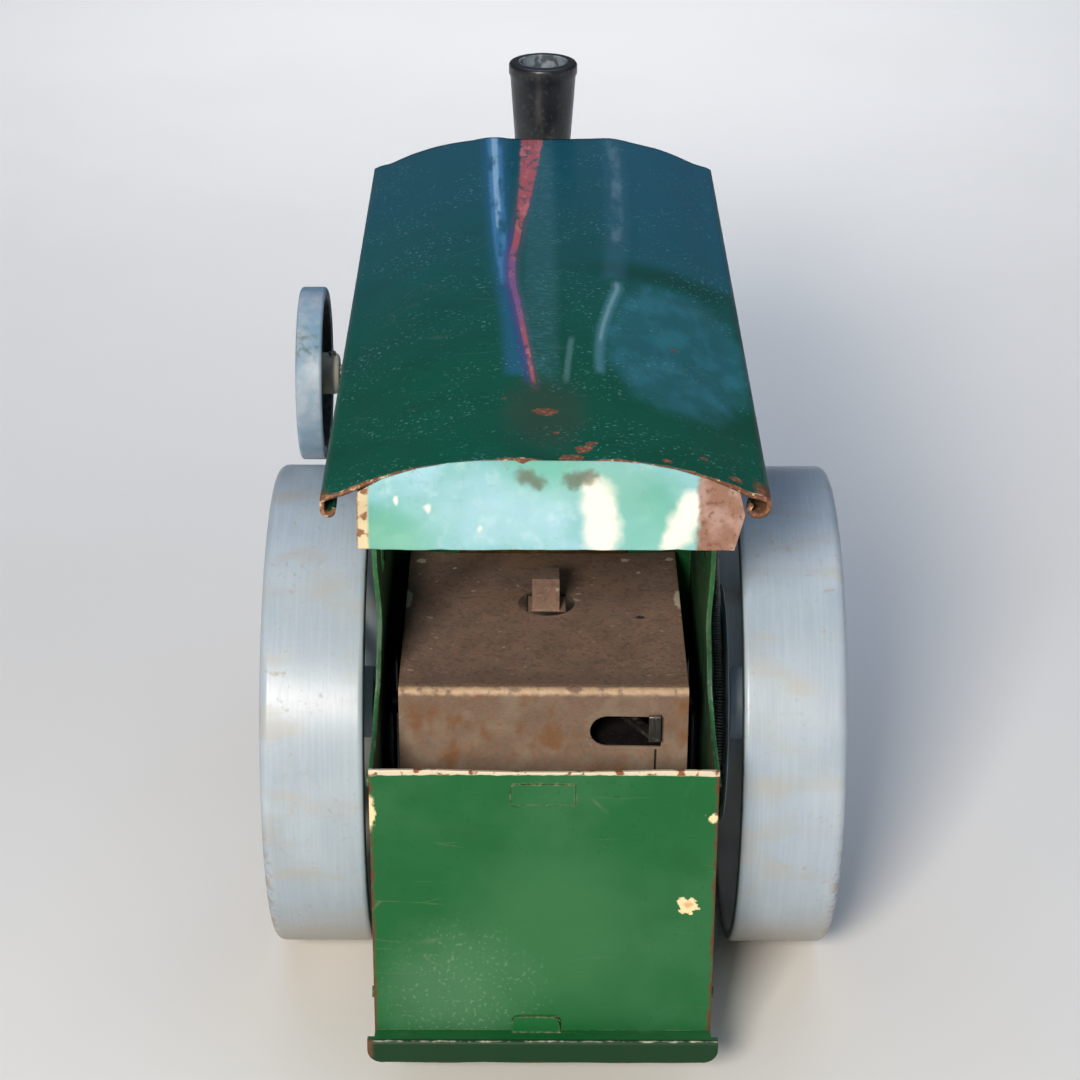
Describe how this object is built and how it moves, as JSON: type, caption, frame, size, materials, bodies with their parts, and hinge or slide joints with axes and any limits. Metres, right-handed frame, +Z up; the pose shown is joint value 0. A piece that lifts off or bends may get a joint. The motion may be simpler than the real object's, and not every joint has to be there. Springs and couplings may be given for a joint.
{
  "type": "model steam road roller",
  "caption": "Toy live-steam road roller with green bunker, arched canopy, flywheel, oscillating engine, spoked rear rollers and a steering split front roller.",
  "frame": {"origin": "bottom centre of the whole roller's box, on the ground", "axes": "+Y forwards towards the chimney and front roller, +X to the roller's right, +Z up"},
  "size_m": [0.12, 0.246, 0.159],
  "materials": {
    "green_body": "sprayed enamel over sheet steel, scuffed",
    "green_roof": "gloss enamel over sheet steel, chipped at the edges",
    "roller_paint": "pale blue-grey enamel over cast zinc",
    "rusty_sheet": "heat-browned and rusted sheet steel",
    "black_paint": "satin black stove enamel",
    "brass": "dulled brass",
    "copper": "dulled copper tube",
    "bright_steel": "turned steel, plain",
    "tinplate": "tinned sheet, sooty",
    "spring_steel": "coiled wire"
  },
  "bodies": {
    "chassis": {"hornplate_left": "green_body", "hornplate_right": "green_body", "bunker_back_panel": "green_body", "bunker_floor": "green_body", "side_rivets": "green_body", "firebox_casing": "rusty_sheet", "casing_peg": "rusty_sheet", "damper_pivot": "bright_steel", "throat_plate": "green_body", "boiler_shell": "brass", "boiler_end_caps": "brass", "boiler_bands": "brass", "level_plug": "brass", "safety_valve_body": "brass", "whistle": "brass", "smokebox": "black_paint", "smokebox_door": "black_paint", "chimney_base": "black_paint", "chimney": "black_paint", "front_saddle": "black_paint", "kingpin": "bright_steel", "crank_brackets": "bright_steel", "bearing_bushes": "brass", "drive_belt": "spring_steel", "engine_bed": "bright_steel", "port_block": "bright_steel", "steam_pipe": "copper", "exhaust_pipe": "copper", "pipe_unions": "brass", "rear_axle": "bright_steel", "axle_spacers": "brass", "axle_nuts": "brass", "canopy_roof": "green_roof", "canopy_rear_bracket": "green_body", "canopy_front_yoke": "black_paint", "canopy_posts": "bright_steel"},
    "left_roller": {"rear_roller_left": "roller_paint"},
    "right_roller": {"rear_roller_right": "roller_paint", "roller_pulley": "roller_paint"},
    "crankshaft": {"crankshaft_left": "bright_steel", "crankshaft_right": "bright_steel", "flywheel": "roller_paint", "flywheel_screw": "bright_steel", "crank_pulley": "bright_steel"},
    "cylinder": {"engine_cylinder": "brass", "cylinder_gland": "brass", "pivot_spring": "spring_steel", "pivot_nut": "brass"},
    "piston": {"piston_rod": "bright_steel", "big_end_bush": "brass"},
    "steering_fork": {"front_fork": "black_paint", "front_axle": "bright_steel"},
    "front_left": {"front_roller_left": "roller_paint"},
    "front_right": {"front_roller_right": "roller_paint"},
    "steam_lever": {"control_lever": "bright_steel"},
    "whistle_arm": {"whistle_lever": "bright_steel"},
    "safety_valve": {"safety_valve_plunger": "brass"},
    "damper": {"damper_lever": "bright_steel"},
    "burner": {"burner_tray": "tinplate", "tray_handle": "bright_steel"}
  },
  "joints": [
    {"name": "left_roller_spin", "type": "hinge", "parent": "chassis", "child": "left_roller", "pos_m": [-0.049, -0.045, 0.0525], "axis": [1, 0, 0], "continuous": true},
    {"name": "right_roller_spin", "type": "hinge", "parent": "chassis", "child": "right_roller", "pos_m": [0.049, -0.045, 0.0525], "axis": [1, 0, 0], "continuous": true},
    {"name": "crankshaft_spin", "type": "hinge", "parent": "chassis", "child": "crankshaft", "pos_m": [-0.002, 0.015, 0.1066], "axis": [1, 0, 0], "continuous": true},
    {"name": "cylinder_rock", "type": "hinge", "parent": "chassis", "child": "cylinder", "pos_m": [-0.002, 0.053, 0.113], "axis": [1, 0, 0], "range_deg": [-8.2, 8.2]},
    {"name": "piston_stroke", "type": "slide", "parent": "cylinder", "child": "piston", "axis": [0, -0.9861, -0.1661], "range_m": [0, 0.011]},
    {"name": "steering", "type": "hinge", "parent": "chassis", "child": "steering_fork", "pos_m": [-0.002, 0.098, 0.053], "axis": [0, 0, 1], "range_deg": [-25, 25]},
    {"name": "front_left_spin", "type": "hinge", "parent": "steering_fork", "child": "front_left", "pos_m": [-0.019, 0.098, 0.025], "axis": [1, 0, 0], "continuous": true},
    {"name": "front_right_spin", "type": "hinge", "parent": "steering_fork", "child": "front_right", "pos_m": [0.015, 0.098, 0.025], "axis": [1, 0, 0], "continuous": true},
    {"name": "steam_lever_swing", "type": "hinge", "parent": "chassis", "child": "steam_lever", "pos_m": [0.011, 0.047, 0.103], "axis": [1, 0, 0], "range_deg": [-20, 20]},
    {"name": "whistle_pull", "type": "hinge", "parent": "chassis", "child": "whistle_arm", "pos_m": [-0.0145, -0.015, 0.1], "axis": [1, 0, 0], "range_deg": [0, 10], "stiffness_Nm_per_rad": 0.001, "springref_deg": -11.46},
    {"name": "safety_valve_lift", "type": "slide", "parent": "chassis", "child": "safety_valve", "axis": [0, 0, 1], "range_m": [0, 0.0015], "stiffness_N_per_m": 100, "springref_m": -0.001},
    {"name": "damper_swing", "type": "hinge", "parent": "chassis", "child": "damper", "pos_m": [0.006, -0.07, 0.071], "axis": [0, 0, 1], "range_deg": [-22, 0]},
    {"name": "burner_slide", "type": "slide", "parent": "chassis", "child": "burner", "axis": [0, 1, 0], "range_m": [0, 0.06]}
  ],
  "couplings": [
    {"joint": "crankshaft_spin", "follows": "right_roller_spin", "ratio": 4}
  ]
}
